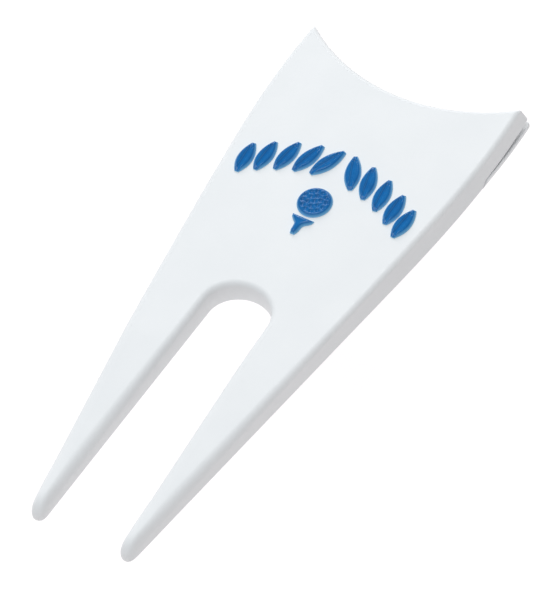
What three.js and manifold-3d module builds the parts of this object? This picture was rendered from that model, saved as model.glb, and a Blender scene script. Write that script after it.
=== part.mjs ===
// Divot repair tool: a two-pronged fork with a sprung clip on its back that carries a ball marker.
//
// Millimetres. The tool lies on its back. +X runs across it, +Y from the prong tips to the concave
// end, and +Z points out of the front face. The origin is on the surface that the tool lies on,
// below the middle of its length and width.
import * as THREE from 'three';
import { mergeVertices } from 'three/addons/utils/BufferGeometryUtils.js';
import Module from 'manifold-3d';

const wasm = await Module();
wasm.setup();

// Driving dimensions of the fork.
const BACK_Z = 0.8; // height of the fork's back plane, because the clip's lip reaches below it
const THICKNESS = 3.2;
const FRONT_Z = BACK_Z + THICKNESS;
const TIP_Y = -38.25; // prong tips
const TOP_Y = 38.25; // corners of the concave end
const MID_HALF_WIDTH = 12.48; // half the width at y = 0
const TAPER = 0.14; // widening of each side per millimetre of length
const SHOULDER_RISE = 8.5e-4; // side curve above y = 0: rise * y^2 - pull * y^3
const SHOULDER_PULL = 6.64e-5;
const END_ARC_CENTRE_Y = 58.04; // the concave end is part of this circle
const END_ARC_RADIUS = 24.8;
const CORNER = 0.3; // length of edge that each corner's rounding takes
const DRAFT = 0.45; // how far the body's walls lean in between the back and the front edge
const DRAFT_LOW_Y = -10; // below this the walls are upright
const DRAFT_HIGH_Y = 15; // above this they lean fully
const FRONT_FILLET = 0.7; // radius of the rounded front edge
const BACK_BREAK = 0.2;

// Slot between the prongs, measured at the back.
const SLOT_END_Y = -3.8; // centre of the slot's round end
const SLOT_HALF_WIDTH = 4.27; // half the width at the round end
const SLOT_FLARE = 0.0322; // widening of each side per millimetre towards the tips
const SLOT_END_DEPTH = 3.76; // how far the round end reaches beyond its centre
const TIP_LENGTH = 1.6; // length over which the outer side of a prong curves in
const TIP_INNER_LENGTH = 1.2;
const INSET_SHARE = 0.42; // most of a prong's width that each wall may lean in by
const TIP_APEX = 0.55; // place of the point between the prong's inner and outer side
const PRONG_FADE = 30; // the radius of the front edge grows over this length, from y = 0 down
const PRONG_FILLET = 1.35; // its radius at the end of that length
const PRONG_SLOPE = 0.025; // the prongs get thinner by this share of their length
const PRONG_SLOPE_Y = -12; // from here down
const TIP_FADE = 4; // the edge is higher again over this length, up to the tips
const TIP_HEIGHT = 2.1; // height of the rounded edge at the very tips
const TIP_RUN = 2.3; // how far the front face ends before the tips

// Clip: a clamped foot and a sprung leaf with a full-width head.
const CLIP_THICKNESS = 0.65;
const CLIP_GAP = 0.1; // between the clip and the floor of its pocket
const EDGE_GAP = 0.3; // between the clip's edges and the pocket's walls
const TONGUE_MARGIN = 2.3; // from the fork's side to the side of the tongue
const TONGUE_CORNER = 1.2;
const FOOT_BOTTOM_Y = 1.9;
const FOOT_TOP_Y = 5.7;
const LEAF_BOTTOM_Y = 6.0;
const HEAD_BOTTOM_Y = 27.3;
const HEAD_CORNER = 0.9;
const HEAD_GAP = 0.2; // between the head's shoulders and the fork, along the length
const HEAD_BEVEL = 0.6; // the shoulders slope by this much each way, along the length
const LIP_START_Y = 27.3; // from here the head bends away from the fork
const LIP_BEND = 1.4; // length of the bend
const LIP_SLOPE = 0.078; // slope of the head beyond the bend

// Ball marker in its dish, and the magnet behind it.
const MARKER_Y = 16.9;
const MARKER_RADIUS = 9;
const MARKER_THICKNESS = 0.7;
const MARKER_CLEARANCE = 0.15;
const MARKER_LIFT = 0.04; // between the marker and the floor of the dish
const RIM_WIDTH = 1.3;
const INLAY_DEPTH = 0.35;
const INLAY_CLEARANCE = 0.03;
const NOTCH_RADIUS = 2.6; // fingernail notch at the edge of the dish
const NOTCH_OFFSET = 9.55; // from the marker's centre to the notch's
const MAGNET_RADIUS = 5;
const MAGNET_THICKNESS = 0.9;
const MAGNET_CLEARANCE = 0.1;
const DISH_GAP = 0.15; // between the dish and the magnet
const DISH_CLEARANCE = 0.4; // around the dish

// Countersunk rivets through the clip's foot.
const RIVET_Y = 3.8;
const RIVET_X = 5;
const RIVET_HEAD_RADIUS = 1.55;
const RIVET_SHANK_RADIUS = 0.9;
const RIVET_LENGTH = 2.1;
const RIVET_CLEARANCE = 0.05;
const RIVET_RECESS = 0.05; // how far the heads sit below the back of the foot

// Raised enamel emblem on the front.
const EMBLEM_HEIGHT = 0.46;
const EMBLEM_BEVEL = 0.2;
const EMBLEM_SEAT = 0.01; // film between the enamel and the front face
const BALL_Y = 14.1; // the ball and the tee are on the centreline
const BALL_RADIUS = 2.2;
const DIMPLE_RADIUS = 0.3;
const DIMPLE_RING = 1.25; // radius of the ring of dimples round the middle one
const TEE_TOP_Y = 11.6;
const TEE_LENGTH = 2.7;
const ARCH_TOP_Y = 20; // the leaves' middles lie on the arch y = top - fall * x^2
const ARCH_FALL = 0.03;
const LEAF_PLACES = [1.8, 4.3, 6.8, 9.2, 11.3]; // x of each leaf of the right half of the arch
const LEAF_LEAN = 30; // degrees from the arch's normal, towards its top
const LEAF_LENGTH = 5.2; // at the top of the arch
const LEAF_SHRINK = 0.05; // loss of length per millimetre from the centreline
const LEAF_BULGE = 1.8; // how far the curves that bound a leaf are pulled from its middle

const WHITE_COAT = { color: 0xf0f2f3, roughness: 0.5, metalness: 0 };
const BLUE_ENAMEL = { color: 0x0a63b0, roughness: 0.18, metalness: 0 };
const SATIN_STEEL = { color: 0xc9cbce, roughness: 0.35, metalness: 1 };
const BRIGHT_NICKEL = { color: 0xd8d6d0, roughness: 0.2, metalness: 1 };

const POCKET_Z = BACK_Z + CLIP_THICKNESS + CLIP_GAP;
const DISH_FLOOR_Z = BACK_Z + MARKER_THICKNESS + MARKER_LIFT;
const DISH_RADIUS = MARKER_RADIUS + MARKER_CLEARANCE;
const DISH_OUTER_RADIUS = DISH_RADIUS + CLIP_THICKNESS;
const DISH_TOP_Z = DISH_FLOOR_Z + CLIP_THICKNESS;
const MAGNET_Z = DISH_TOP_Z + DISH_GAP;
const BEYOND = 6; // how far cutting tools reach past the surfaces they cut
const WIDE = 20; // half the width of tools that cut right across
const FAR_Y = TOP_Y + BEYOND;

// Solids: three.js geometry in and out of manifold-3d.
function solid(geometry) {
  const plain = geometry.clone();
  plain.deleteAttribute('normal');
  plain.deleteAttribute('uv');
  const merged = mergeVertices(plain, 1e-4);
  return new wasm.Manifold(new wasm.Mesh({
    numProp: 3,
    vertProperties: merged.getAttribute('position').array,
    triVerts: new Uint32Array(merged.index.array),
  }));
}

function geometryOf(manifold) {
  const mesh = manifold.getMesh();
  const geometry = new THREE.BufferGeometry();
  geometry.setAttribute('position', new THREE.BufferAttribute(mesh.vertProperties, 3));
  geometry.setIndex(new THREE.BufferAttribute(mesh.triVerts, 1));
  geometry.computeVertexNormals();
  return geometry;
}

// A prism of a plan outline between two heights.
function prism(shape, lowZ, highZ) {
  const geometry = new THREE.ExtrudeGeometry(shape, {
    depth: highZ - lowZ,
    bevelEnabled: false,
    curveSegments: 12,
  });
  return solid(geometry.translate(0, 0, lowZ));
}

function block(lowX, highX, lowY, highY, lowZ, highZ) {
  const geometry = new THREE.BoxGeometry(highX - lowX, highY - lowY, highZ - lowZ);
  const centre = [(lowX + highX) / 2, (lowY + highY) / 2, (lowZ + highZ) / 2];
  return solid(geometry.translate(...centre));
}

// A solid turned about a vertical axis through (x, y). The profile is [radius, z] pairs, bottom first.
function turned(profile, x, y, segments = 48) {
  const points = profile.map(([radius, z]) => new THREE.Vector2(radius, z));
  const geometry = new THREE.LatheGeometry(points, segments);
  return solid(geometry.rotateX(Math.PI / 2).translate(x, y, 0));
}

function disc(radius, lowZ, highZ, x, y, segments = 64) {
  return turned([[0, lowZ], [radius, lowZ], [radius, highZ], [0, highZ]], x, y, segments);
}

// Half the fork's width at a place along its length, measured at the back.
function halfWidth(y) {
  const shoulder = Math.max(0, y);
  return MID_HALF_WIDTH + TAPER * y + SHOULDER_RISE * shoulder ** 2 - SHOULDER_PULL * shoulder ** 3;
}

function slotHalfWidth(y) {
  return SLOT_HALF_WIDTH + SLOT_FLARE * (SLOT_END_Y - y);
}

// How far a value has gone from one end to the other of a range, between 0 and 1.
function share(value, start, end) {
  return THREE.MathUtils.clamp((value - start) / (end - start), 0, 1);
}

// Radius of the rounded front edge at a place along the fork.
function frontFillet(y) {
  return THREE.MathUtils.lerp(FRONT_FILLET, PRONG_FILLET, share(y, 0, -PRONG_FADE));
}

// Height of the rounded edge, which is more than its radius at the tips.
function edgeHeight(y) {
  return frontFillet(y) + (TIP_HEIGHT - PRONG_FILLET) * share(y, TIP_Y + TIP_FADE, TIP_Y);
}

// Height of the front face, which falls towards the prong tips.
function frontHeight(y) {
  return FRONT_Z - PRONG_SLOPE * Math.max(0, PRONG_SLOPE_Y - y);
}

// The fork's outlines, from the back up. inset(y) says how far in each is moved, and height(y) where
// it lies. round runs from 0 to 1 from the side to the front face.
function backLevel(inset, height) {
  return { inset: () => inset, height: () => height, round: 0 };
}

function frontLevel(angle) {
  const round = 1 - Math.cos(angle);
  return {
    inset: (y) => DRAFT * share(y, DRAFT_LOW_Y, DRAFT_HIGH_Y) + round * frontFillet(y),
    height: (y) => frontHeight(y) - edgeHeight(y) * (1 - Math.sin(angle)),
    round,
  };
}

// Height of the concave end's edge at a distance from the middle, for an outline moved in by inset.
function endArcY(x, inset) {
  return END_ARC_CENTRE_Y - Math.sqrt((END_ARC_RADIUS + inset) ** 2 - x ** 2);
}

// Top right corner of an outline moved in by inset: where its side meets the concave end.
function topCorner(inset) {
  let y = TOP_Y;
  for (let step = 0; step < 20; step += 1) {
    y = endArcY(halfWidth(y) - inset, inset);
  }
  return new THREE.Vector2(halfWidth(y) - inset, y);
}

// The edge from the middle of the concave end, round the right corner, down the side to lowY.
function shoulderPoints(level, corner, lowY, sideSteps) {
  const inset = level.inset(TOP_Y);
  const peak = topCorner(inset);
  const points = [];
  const arcSteps = 14;
  const arcEndX = peak.x - corner * 0.8;
  for (let step = 0; step <= arcSteps; step += 1) {
    const x = (arcEndX * step) / arcSteps;
    points.push(new THREE.Vector2(x, endArcY(x, inset)));
  }
  const sideStart = new THREE.Vector2(halfWidth(peak.y - corner) - inset, peak.y - corner);
  const rounding = new THREE.QuadraticBezierCurve(points[arcSteps], peak, sideStart);
  points.push(...rounding.getPoints(5).slice(1));
  for (let step = 1; step <= sideSteps; step += 1) {
    const y = sideStart.y + ((lowY - sideStart.y) * step) / sideSteps;
    points.push(new THREE.Vector2(halfWidth(y) - wallInset(y, level), y));
  }
  return points;
}

// Where a prong ends, at a level.
function tipStart(level) {
  return TIP_Y + 0.3 * level.inset(TIP_Y) + TIP_RUN * level.round;
}

// How far a wall is moved in at a level. It is less near the tips, where the prongs are narrow.
function wallInset(y, level) {
  const prongWidth = y < SLOT_END_Y ? halfWidth(y) - slotHalfWidth(y) : halfWidth(y);
  return level.inset(y) * Math.min(1, (INSET_SHARE * prongWidth) / PRONG_FILLET);
}

// The rounded end of the right prong, from its outer side to its inner side.
function tipPoints(level) {
  const tipY = tipStart(level);
  const outer = (y) => new THREE.Vector2(halfWidth(y) - wallInset(y, level), y);
  const inner = (y) => new THREE.Vector2(slotHalfWidth(y) + wallInset(y, level), y);
  const innerX = inner(tipY).x;
  const width = outer(tipY).x - innerX;
  const apex = new THREE.Vector2(innerX + TIP_APEX * width, tipY);
  const outerBend = new THREE.Vector2(apex.x + 0.42 * width, tipY);
  const innerBend = new THREE.Vector2(apex.x - 0.42 * width, tipY);
  const outside = new THREE.CubicBezierCurve(
    outer(tipY + TIP_LENGTH), outer(tipY + TIP_LENGTH * 0.45), outerBend, apex,
  );
  const inside = new THREE.CubicBezierCurve(
    apex, innerBend, inner(tipY + TIP_INNER_LENGTH * 0.4), inner(tipY + TIP_INNER_LENGTH),
  );
  return [...outside.getPoints(12).slice(1), ...inside.getPoints(6).slice(1)];
}

// The slot's edge, from the end of the right prong's rounding to the middle of the round end.
function slotPoints(level) {
  const points = [];
  const startY = tipStart(level) + TIP_INNER_LENGTH;
  const sideSteps = 8;
  for (let step = 1; step < sideSteps; step += 1) {
    const y = startY + ((SLOT_END_Y - startY) * step) / sideSteps;
    points.push(new THREE.Vector2(slotHalfWidth(y) + wallInset(y, level), y));
  }
  const inset = level.inset(SLOT_END_Y);
  const radiusX = SLOT_HALF_WIDTH + inset;
  const radiusY = SLOT_END_DEPTH + inset;
  const steps = 14;
  for (let step = 0; step <= steps; step += 1) {
    const angle = (Math.PI / 2) * (step / steps);
    points.push(new THREE.Vector2(
      radiusX * Math.cos(angle), SLOT_END_Y + radiusY * Math.sin(angle),
    ));
  }
  return points;
}

// The fork's whole plan outline at a level, anticlockwise.
function forkOutline(level) {
  const right = [
    ...shoulderPoints(level, CORNER, tipStart(level) + TIP_LENGTH, 24),
    ...tipPoints(level),
    ...slotPoints(level),
  ];
  const left = right.slice(1, -1).map((point) => new THREE.Vector2(-point.x, point.y));
  return [...left, right[right.length - 1], ...right.slice(0, -1).reverse()];
}

// A solid skinned over an outline at each level, from the bottom up. The lowest and highest are flat.
function stacked(outlineAt, levels) {
  const rings = levels.map(outlineAt);
  const count = rings[0].length;
  const positions = [];
  const faces = [];
  rings.forEach((ring, index) => {
    ring.forEach((point) => positions.push(point.x, point.y, levels[index].height(point.y)));
  });
  for (let ring = 0; ring + 1 < rings.length; ring += 1) {
    for (let index = 0; index < count; index += 1) {
      const next = (index + 1) % count;
      const low = ring * count;
      const high = low + count;
      faces.push(low + index, low + next, high + next, low + index, high + next, high + index);
    }
  }
  const top = (rings.length - 1) * count;
  THREE.ShapeUtils.triangulateShape(rings[0], []).forEach(([a, b, c]) => faces.push(a, c, b));
  THREE.ShapeUtils.triangulateShape(rings[rings.length - 1], [])
    .forEach(([a, b, c]) => faces.push(top + a, top + b, top + c));
  const geometry = new THREE.BufferGeometry();
  geometry.setAttribute('position', new THREE.Float32BufferAttribute(positions, 3));
  geometry.setIndex(faces);
  return solid(geometry);
}

function forkLevels() {
  const angles = [0, 0.2, 0.4, 0.6, 0.8, 1].map((part) => (part * Math.PI) / 2);
  return [
    backLevel(BACK_BREAK, BACK_Z),
    backLevel(0, BACK_Z + BACK_BREAK),
    ...angles.map(frontLevel),
  ];
}

function mirrored(right) {
  const left = right.map((point) => new THREE.Vector2(-point.x, point.y)).reverse();
  return new THREE.Shape([...left, ...right].reverse());
}

// Plan outline of the tongue between two places, grown outwards by margin.
function tongueShape(lowY, highY, margin) {
  const side = (y) => new THREE.Vector2(halfWidth(y) - TONGUE_MARGIN + margin, y);
  const low = side(lowY - margin);
  const right = [side(highY + margin)];
  const steps = Math.round((highY - lowY) / 4);
  for (let step = 1; step < steps; step += 1) {
    right.push(side(highY + margin + ((lowY + TONGUE_CORNER - highY - margin) * step) / steps));
  }
  const rounding = new THREE.QuadraticBezierCurve(
    side(low.y + TONGUE_CORNER), low, new THREE.Vector2(low.x - TONGUE_CORNER, low.y),
  );
  right.push(...rounding.getPoints(4));
  return mirrored(right);
}

function makeForkBody() {
  const toolZ = BACK_Z - BEYOND;
  const magnetTopZ = MAGNET_Z + MAGNET_THICKNESS + MAGNET_CLEARANCE;
  const holeRadius = RIVET_SHANK_RADIUS + RIVET_CLEARANCE;
  const holeTopZ = BACK_Z + RIVET_LENGTH + RIVET_CLEARANCE;
  return stacked(forkOutline, forkLevels())
    .subtract(prism(tongueShape(FOOT_BOTTOM_Y, HEAD_BOTTOM_Y, EDGE_GAP), toolZ, POCKET_Z))
    .subtract(headRecess())
    .subtract(disc(DISH_OUTER_RADIUS + DISH_CLEARANCE, toolZ, MAGNET_Z, 0, MARKER_Y))
    .subtract(disc(MAGNET_RADIUS + MAGNET_CLEARANCE, toolZ, magnetTopZ, 0, MARKER_Y))
    .subtract(disc(holeRadius, toolZ, holeTopZ, -RIVET_X, RIVET_Y, 32))
    .subtract(disc(holeRadius, toolZ, holeTopZ, RIVET_X, RIVET_Y, 32));
}

// A countersunk rivet, head down. grow widens it, and reach lengthens its head, to cut its hole.
function rivet(x, grow = 0, reach = 0) {
  const headZ = BACK_Z + RIVET_RECESS;
  const neckZ = headZ + RIVET_HEAD_RADIUS - RIVET_SHANK_RADIUS;
  const headEdge = reach > 0 ? [[RIVET_HEAD_RADIUS + grow, headZ - reach]] : [];
  return turned([
    [0, headZ - reach],
    ...headEdge,
    [RIVET_HEAD_RADIUS + grow, headZ],
    [RIVET_SHANK_RADIUS + grow, neckZ],
    [RIVET_SHANK_RADIUS + grow, BACK_Z + RIVET_LENGTH],
    [0, BACK_Z + RIVET_LENGTH],
  ], x, RIVET_Y, 32);
}

function makeClipFoot() {
  const outline = tongueShape(FOOT_BOTTOM_Y, FOOT_TOP_Y, 0);
  return prism(outline, BACK_Z, BACK_Z + CLIP_THICKNESS)
    .subtract(rivet(-RIVET_X, RIVET_CLEARANCE, 1))
    .subtract(rivet(RIVET_X, RIVET_CLEARANCE, 1));
}

// A section along the tool's length, given as [y, z] pairs, drawn out across it.
function crosswise(section) {
  const shape = new THREE.Shape(section.map(([y, z]) => new THREE.Vector2(y, z)));
  const geometry = new THREE.ExtrudeGeometry(shape, { depth: 2 * WIDE, bevelEnabled: false });
  geometry.translate(0, 0, -WIDE);
  const turn = new THREE.Matrix4().makeBasis(
    new THREE.Vector3(0, 1, 0), new THREE.Vector3(0, 0, 1), new THREE.Vector3(1, 0, 0),
  );
  return solid(geometry.applyMatrix4(turn));
}

// The recess in the fork that takes the clip's head. Its lower wall slopes as the head does.
function headRecess() {
  const wallY = HEAD_BOTTOM_Y - HEAD_GAP;
  const toolZ = BACK_Z - BEYOND;
  return crosswise([
    [wallY - HEAD_BEVEL, toolZ],
    [FAR_Y, toolZ],
    [FAR_Y, POCKET_Z],
    [wallY + HEAD_BEVEL, POCKET_Z],
    [wallY - HEAD_BEVEL, BACK_Z],
  ]);
}

// Height of the leaf's outer face, which bends away from the fork at the head.
function leafOuterZ(y) {
  const run = Math.max(0, y - LIP_START_Y);
  const bent = Math.min(run, LIP_BEND);
  return BACK_Z - LIP_SLOPE * (bent ** 2 / (2 * LIP_BEND) + run - bent);
}

// Sheet wider than the fork, from outerY at its outer face and innerY at its inner face.
function leafSheet(outerY, innerY) {
  const face = (startY, rise) => {
    const bendEnd = LIP_START_Y + LIP_BEND;
    const bend = [0, 0.25, 0.5, 0.75, 1].map((share) => LIP_START_Y + LIP_BEND * share);
    return [startY, ...bend.filter((y) => y > startY + 0.05), bendEnd + 4, TOP_Y]
      .map((y) => [y, leafOuterZ(y) + rise]);
  };
  return crosswise([...face(outerY, 0), ...face(innerY, CLIP_THICKNESS).reverse()]);
}

function makeClipLeaf() {
  const headLowY = HEAD_BOTTOM_Y - HEAD_BEVEL;
  const edge = shoulderPoints(backLevel(0, BACK_Z), HEAD_CORNER, headLowY, 8);
  const head = mirrored(edge.slice(1));
  const tongue = tongueShape(LEAF_BOTTOM_Y, HEAD_BOTTOM_Y + 2, 0);
  const headSheet = leafSheet(HEAD_BOTTOM_Y - HEAD_BEVEL, HEAD_BOTTOM_Y + HEAD_BEVEL)
    .intersect(prism(head, -BEYOND, BEYOND));
  const tongueSheet = leafSheet(LEAF_BOTTOM_Y, LEAF_BOTTOM_Y)
    .intersect(prism(tongue, -BEYOND, BEYOND));
  const dish = disc(DISH_OUTER_RADIUS, BACK_Z, DISH_TOP_Z, 0, MARKER_Y);
  const hollow = disc(DISH_RADIUS, -BEYOND, DISH_FLOOR_Z, 0, MARKER_Y);
  const notch = disc(NOTCH_RADIUS, -BEYOND, BEYOND, 0, MARKER_Y + NOTCH_OFFSET, 40);
  return tongueSheet.add(headSheet).add(dish).subtract(hollow).subtract(notch);
}

function makeBallMarker() {
  const inlayRadius = MARKER_RADIUS - RIM_WIDTH;
  return turned([
    [0, BACK_Z + INLAY_DEPTH],
    [inlayRadius, BACK_Z + INLAY_DEPTH],
    [inlayRadius, BACK_Z],
    [MARKER_RADIUS - BACK_BREAK, BACK_Z],
    [MARKER_RADIUS, BACK_Z + BACK_BREAK],
    [MARKER_RADIUS, BACK_Z + MARKER_THICKNESS],
    [0, BACK_Z + MARKER_THICKNESS],
  ], 0, MARKER_Y, 72);
}

function makeMarkerInlay() {
  const radius = MARKER_RADIUS - RIM_WIDTH - INLAY_CLEARANCE;
  const lowZ = BACK_Z + 2 * INLAY_CLEARANCE;
  return disc(radius, lowZ, BACK_Z + INLAY_DEPTH - INLAY_CLEARANCE, 0, MARKER_Y, 72);
}

function makeMagnet() {
  return disc(MAGNET_RADIUS, MAGNET_Z, MAGNET_Z + MAGNET_THICKNESS, 0, MARKER_Y, 48);
}

// A raised island of enamel with bevelled upper edges, standing on the front face.
function island(shape) {
  const geometry = new THREE.ExtrudeGeometry(shape, {
    depth: EMBLEM_HEIGHT,
    bevelThickness: EMBLEM_BEVEL,
    bevelSize: EMBLEM_BEVEL,
    bevelOffset: -EMBLEM_BEVEL,
    bevelSegments: 2,
  });
  const seatZ = FRONT_Z + EMBLEM_SEAT;
  geometry.translate(0, 0, seatZ - EMBLEM_BEVEL);
  return solid(geometry).subtract(block(-WIDE, WIDE, 0, FAR_Y, seatZ - BEYOND, seatZ));
}

function circlePoints(x, y, radius, count) {
  return new THREE.EllipseCurve(x, y, radius, radius, 0, Math.PI * 2).getPoints(count).slice(1);
}

// A golf ball: a disc with a ring of dimples around one in the middle.
function ballShape() {
  const shape = new THREE.Shape(circlePoints(0, BALL_Y, BALL_RADIUS, 36));
  const dimples = [[0, 0]];
  for (let index = 0; index < 6; index += 1) {
    const angle = (Math.PI * 2 * index) / 6;
    dimples.push([DIMPLE_RING * Math.cos(angle), DIMPLE_RING * Math.sin(angle)]);
  }
  dimples.forEach(([x, y]) => {
    shape.holes.push(new THREE.Path(circlePoints(x, BALL_Y + y, DIMPLE_RADIUS, 12)));
  });
  return shape;
}

// The tee below the ball: a cup that narrows to a stem with a blunt end.
function teeShape() {
  const right = [
    [1.5, 0], [1.42, 0.4], [0.72, 1.05], [0.55, 1.4], [0.48, TEE_LENGTH - 0.5], [0.28, TEE_LENGTH],
  ];
  return mirrored(right.map(([x, drop]) => new THREE.Vector2(x, TEE_TOP_Y - drop)));
}

// A leaf of the arch: side is -1 or 1, and place is its distance from the centreline.
function leafShape(side, place) {
  const half = (LEAF_LENGTH - LEAF_SHRINK * place) / 2;
  const end = 0.25;
  const middle = new THREE.Vector2(place, ARCH_TOP_Y - ARCH_FALL * place ** 2);
  const lean = Math.atan(2 * ARCH_FALL * place) - (LEAF_LEAN * Math.PI) / 180;
  const at = (along, across) => {
    const outwards = along * Math.sin(lean) + across * Math.cos(lean);
    const upwards = along * Math.cos(lean) - across * Math.sin(lean);
    return new THREE.Vector2(side * (middle.x + outwards), middle.y + upwards);
  };
  const edge = (from, bend, to) => new THREE.QuadraticBezierCurve(from, bend, to).getPoints(9);
  const points = [
    ...edge(at(-half, -end), at(-0.2, -LEAF_BULGE), at(half, -end)),
    ...edge(at(half, end), at(-0.2, LEAF_BULGE), at(-half, end)),
  ];
  return new THREE.Shape(side > 0 ? points.reverse() : points);
}

// Scene graph.
const root = new THREE.Group();

function place(name, manifold, finish) {
  const mesh = new THREE.Mesh(geometryOf(manifold), new THREE.MeshStandardMaterial(finish));
  mesh.name = name;
  root.add(mesh);
}

place('fork_body', makeForkBody(), WHITE_COAT);
place('clip_foot', makeClipFoot(), WHITE_COAT);
place('rivet_left', rivet(-RIVET_X), SATIN_STEEL);
place('rivet_right', rivet(RIVET_X), SATIN_STEEL);
place('magnet', makeMagnet(), BRIGHT_NICKEL);
place('clip_leaf', makeClipLeaf(), WHITE_COAT);
place('ball_marker', makeBallMarker(), SATIN_STEEL);
place('marker_inlay', makeMarkerInlay(), BLUE_ENAMEL);
place('emblem_ball', island(ballShape()), BLUE_ENAMEL);
place('emblem_tee', island(teeShape()), BLUE_ENAMEL);
LEAF_PLACES.forEach((x, index) => {
  place(`emblem_leaf_left_${index + 1}`, island(leafShape(-1, x)), BLUE_ENAMEL);
  place(`emblem_leaf_right_${index + 1}`, island(leafShape(1, x)), BLUE_ENAMEL);
});

export default root;
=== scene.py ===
"""Divot repair tool: its looks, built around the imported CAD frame.

The CAD frame is in metres. The tool lies on its back, +Y from the prong tips to the concave end,
and +Z out of the front. Outlines are worked out here in millimetres, and each piece's mesh is
scaled to metres when it is settled on its body.
"""
import math

import bmesh
import bpy
import numpy as np
from mathutils import Matrix, Vector, geometry


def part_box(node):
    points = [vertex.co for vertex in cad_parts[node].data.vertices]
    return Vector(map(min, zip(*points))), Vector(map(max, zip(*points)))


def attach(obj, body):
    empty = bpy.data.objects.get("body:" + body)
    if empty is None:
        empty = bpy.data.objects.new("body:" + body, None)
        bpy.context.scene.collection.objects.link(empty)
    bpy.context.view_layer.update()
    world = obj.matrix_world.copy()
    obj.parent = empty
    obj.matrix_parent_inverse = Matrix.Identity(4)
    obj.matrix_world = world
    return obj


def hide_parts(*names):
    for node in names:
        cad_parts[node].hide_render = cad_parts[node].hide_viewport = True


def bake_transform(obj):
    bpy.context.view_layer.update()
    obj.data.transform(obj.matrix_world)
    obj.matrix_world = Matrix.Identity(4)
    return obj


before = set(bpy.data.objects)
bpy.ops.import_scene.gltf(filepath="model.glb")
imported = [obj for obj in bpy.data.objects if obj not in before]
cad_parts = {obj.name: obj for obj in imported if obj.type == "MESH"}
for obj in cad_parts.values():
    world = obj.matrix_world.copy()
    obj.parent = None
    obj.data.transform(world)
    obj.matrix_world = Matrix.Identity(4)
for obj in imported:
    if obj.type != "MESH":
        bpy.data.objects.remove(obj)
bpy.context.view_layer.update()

MM = 0.001


def box_mm(node):
    """Lowest and highest corner of a CAD node, in millimetres."""
    low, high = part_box(node)
    return low / MM, high / MM


def middle_mm(node):
    """Middle of a CAD node's box, in millimetres."""
    low, high = box_mm(node)
    return (low + high) / 2


FORK_LOW, FORK_HIGH = box_mm("fork_body")
BACK_Z = FORK_LOW.z
FRONT_Z = FORK_HIGH.z
TIP_Y = FORK_LOW.y
TOP_Y = FORK_HIGH.y

# The fork's plan, measured at its back.
MID_HALF_WIDTH = 12.48  # half the width at y = 0
TAPER = 0.14  # widening of each side per millimetre of length
SHOULDER_RISE = 8.5e-4  # side curve above y = 0: rise * y^2 - pull * y^3
SHOULDER_PULL = 6.64e-5
END_ARC_CENTRE_Y = 58.04  # the concave end is part of this circle
END_ARC_RADIUS = 24.8
CORNER = 0.4  # length of side that each corner of the concave end gives to its rounding, in front
BACK_CORNER = 0.85  # the same at the back
CORNER_ARC_SHARE = 0.8  # the rounding takes this share of that length from the concave end
CORNER_STEPS = 10
DRAFT = 0.45  # how far the body's walls lean in between the back and the rounded front edge
DRAFT_LOW_Y = -10  # below this the walls are upright, and above the next they lean fully
DRAFT_HIGH_Y = 15
FRONT_FILLET = 0.7  # radius of the rounded front edge
BACK_BREAK = 0.25  # radius of the back edge
SLOT_END_Y = -3.8  # centre of the slot's round end
SLOT_HALF_WIDTH = 4.27  # half the width at the round end
SLOT_FLARE = 0.0322  # widening of each side per millimetre towards the tips
SLOT_END_DEPTH = 3.76  # how far the round end reaches beyond its centre
TIP_LENGTH = 1.6  # length over which the outer side of a prong curves in
TIP_INNER_LENGTH = 1.2
INSET_SHARE = 0.42  # most of a prong's width that each wall may lean in by
TIP_APEX = 0.55  # place of the point between the prong's inner and outer side
PRONG_FADE = 30  # the radius of the front edge grows over this length, from y = 0 down
PRONG_FILLET = 1.35  # its radius at the end of that length
PRONG_SLOPE = 0.025  # the prongs get thinner by this share of their length
PRONG_SLOPE_Y = -12  # from here down
TIP_FADE = 4  # the edge is higher again over this length, up to the tips
TIP_HEIGHT = 2.1  # height of the rounded edge at the very tips
TIP_RUN = 2.3  # how far the front face ends before the tips
TIP_INSET_SHARE = 0.3  # an outline that is moved in ends short of the tips by this share of that
TIP_ROUNDNESS = 0.42  # how far the tip's end runs straight across, as a share of its width
TIP_OUTER_BEND = 0.45  # where the tip's sides bend in, as shares of the lengths above
TIP_INNER_BEND = 0.4

# The clip and what it carries.
FOOT_LOW, FOOT_HIGH = box_mm("clip_foot")
LEAF_HIGH = box_mm("clip_leaf")[1]
MARKER = middle_mm("ball_marker")
MARKER_LOW, MARKER_HIGH = box_mm("ball_marker")
INLAY_LOW, INLAY_HIGH = box_mm("marker_inlay")
MAGNET_LOW, MAGNET_HIGH = box_mm("magnet")
CLIP_THICKNESS = FOOT_HIGH.z - FOOT_LOW.z
CLIP_GAP = 0.1  # between the strip and the floor of its pocket
POCKET_Z = FOOT_HIGH.z + CLIP_GAP
POCKET_BREAK = 0.1  # bevel round the pocket's mouth
EDGE_GAP = 0.3  # between the strip's edges and the pocket's walls
TONGUE_MARGIN = 2.3  # from the fork's side to the side of the tongue
TONGUE_CORNER = 1.2
HEAD_BOTTOM_Y = 27.3
HEAD_GAP = 0.2  # between the head's shoulders and the fork, along the length
HEAD_BEVEL = 0.6  # the head's shoulders and the wall they face slope by this much each way
HEAD_CORNER = 0.9
SHOULDER_CORNER = 0.25  # rounding of the head's lower corners
NECK_CORNER = 0.4  # rounding between the head and the tongue
LIP_START_Y = 27.3  # the head bends away from the fork here
LIP_BEND = 1.4  # length of the bend
LIP_SLOPE = 0.078  # slope of the head beyond the bend
LIP_ROWS = [30.5, 33, 35.5]  # rows of vertices beyond the bend
MARKER_RADIUS = (MARKER_HIGH.x - MARKER_LOW.x) / 2
MARKER_CLEARANCE = 0.15
DISH_RADIUS = MARKER_RADIUS + MARKER_CLEARANCE
DISH_OUTER_RADIUS = DISH_RADIUS + CLIP_THICKNESS
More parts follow.
